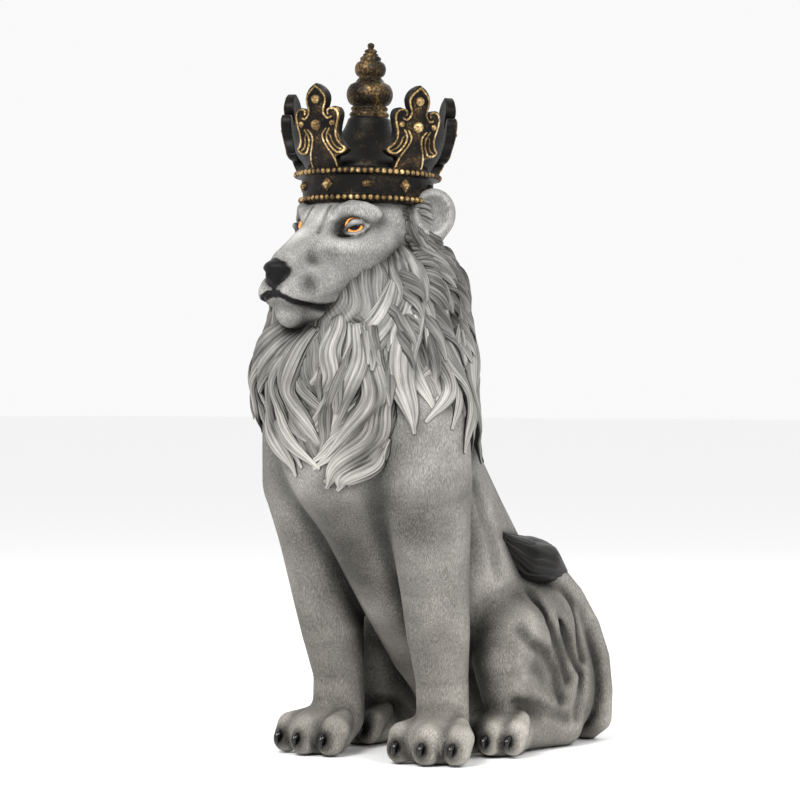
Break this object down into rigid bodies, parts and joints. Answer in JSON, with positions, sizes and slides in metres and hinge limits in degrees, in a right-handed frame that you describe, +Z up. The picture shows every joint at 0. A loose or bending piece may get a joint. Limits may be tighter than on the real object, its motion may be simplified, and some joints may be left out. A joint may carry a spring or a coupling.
{
  "type": "lion floor sculpture",
  "caption": "Seated male lion with a full mane, its tail laid over one haunch, wearing an open crown with a turned finial; stands on its paws and rump.",
  "frame": {"origin": "middle of the bounding box's underside, on the floor", "axes": "+Z up, the lion looks along -Y, its left side is +X"},
  "size_m": [0.2636, 0.4458, 0.7529],
  "materials": {
    "grey_resin": "cast resin painted grey, dry-brushed pale on the high places and washed dark in the low ones",
    "bronze_resin": "cast resin painted as dark antique bronze with worn gold edges"
  },
  "bodies": {
    "root": {"lion": "grey_resin", "crown": "bronze_resin"}
  },
  "joints": []
}
